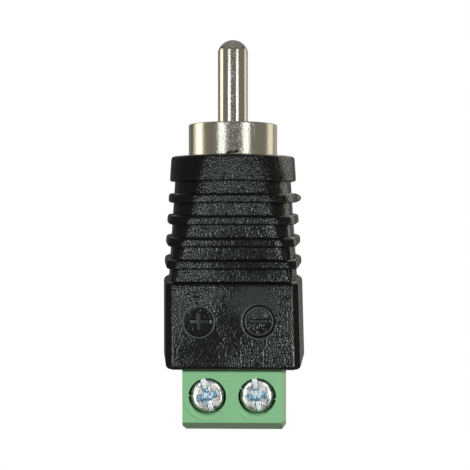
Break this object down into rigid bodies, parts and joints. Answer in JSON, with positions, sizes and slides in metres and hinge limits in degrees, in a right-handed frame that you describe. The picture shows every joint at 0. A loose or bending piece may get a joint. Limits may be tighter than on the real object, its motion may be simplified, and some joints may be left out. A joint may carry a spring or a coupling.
{
  "type": "phono plug with screw terminal",
  "caption": "Phono plug with a plated pin and collar, a ribbed black body and a green screw terminal block whose rising cages clamp bare wires.",
  "frame": {"origin": "on the pin axis, at the flat wire end of the terminal block", "axes": "+Z along the pin towards its tip, screws and polarity marks face -Y, the plus pole is at -X"},
  "size_m": [0.0152, 0.0132, 0.0404],
  "materials": {
    "plated_contact": "polished",
    "insulator": "satin",
    "inner_brass": "satin",
    "black_body": "satin",
    "green_block": "satin",
    "zinc_screw": "satin",
    "tinned_wire": "satin",
    "red_sleeve": "satin",
    "black_sleeve": "satin"
  },
  "bodies": {
    "plug": {"center_pin": "plated_contact", "ground_collar": "plated_contact", "pin_insulator": "insulator", "insulator_washer": "insulator", "ground_lug": "inner_brass", "body_shell": "black_body", "terminal_housing": "green_block", "block_cover": "green_block", "contact_bar_plus": "inner_brass", "contact_bar_minus": "inner_brass", "tip_lead": "tinned_wire", "ground_lead": "tinned_wire", "tip_sleeve": "red_sleeve", "ground_sleeve": "black_sleeve", "solder_joints": "tinned_wire"},
    "screw_plus": {"clamp_screw_plus": "zinc_screw"},
    "screw_minus": {"clamp_screw_minus": "zinc_screw"},
    "cage_plus": {"clamp_cage_plus": "inner_brass"},
    "cage_minus": {"clamp_cage_minus": "inner_brass"}
  },
  "joints": [
    {"name": "screw_plus_turn", "type": "hinge", "parent": "plug", "child": "screw_plus", "pos_m": [-0.00254, -0.0035, 0.00343], "axis": [0, 1, 0], "range_deg": [0, 1440]},
    {"name": "screw_minus_turn", "type": "hinge", "parent": "plug", "child": "screw_minus", "pos_m": [0.00254, -0.0035, 0.00343], "axis": [0, 1, 0], "range_deg": [0, 1440]},
    {"name": "cage_plus_lift", "type": "slide", "parent": "plug", "child": "cage_plus", "axis": [0, -1, 0], "range_m": [0, 0.002]},
    {"name": "cage_minus_lift", "type": "slide", "parent": "plug", "child": "cage_minus", "axis": [0, -1, 0], "range_m": [0, 0.002]}
  ],
  "couplings": [
    {"joint": "screw_plus_turn", "follows": "cage_plus_lift", "rad_per_m": 12566},
    {"joint": "screw_minus_turn", "follows": "cage_minus_lift", "rad_per_m": 12566}
  ]
}
